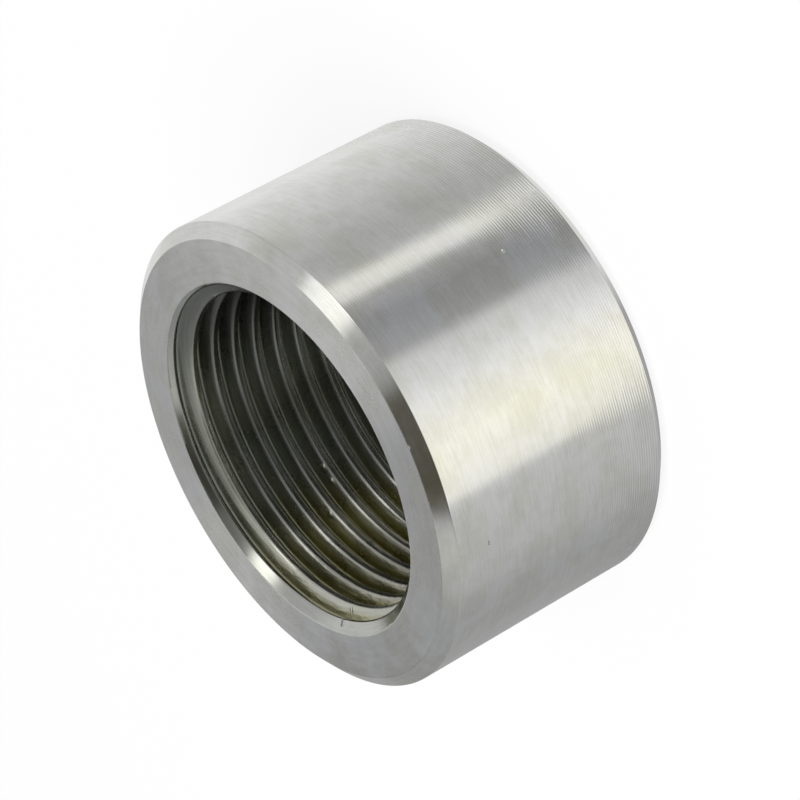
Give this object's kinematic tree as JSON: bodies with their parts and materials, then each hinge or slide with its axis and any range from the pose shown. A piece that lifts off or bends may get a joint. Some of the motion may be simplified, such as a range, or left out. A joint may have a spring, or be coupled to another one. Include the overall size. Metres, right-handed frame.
{
  "type": "weld-on threaded socket",
  "caption": "Short thick-walled round socket with a through pipe thread, countersunk mouths and chamfered edges, for welding onto pipe or plate.",
  "frame": {"origin": "centre of the rear face, on the bore axis", "axes": "+Z along the bore axis towards the countersunk mouth; -Y faces the viewer of the picture"},
  "size_m": [0.035, 0.035, 0.0194],
  "materials": {
    "stainless_steel": "fine turned bright stainless steel, lightly oiled in the thread"
  },
  "bodies": {
    "root": {"threaded_socket": "stainless_steel"}
  },
  "joints": []
}
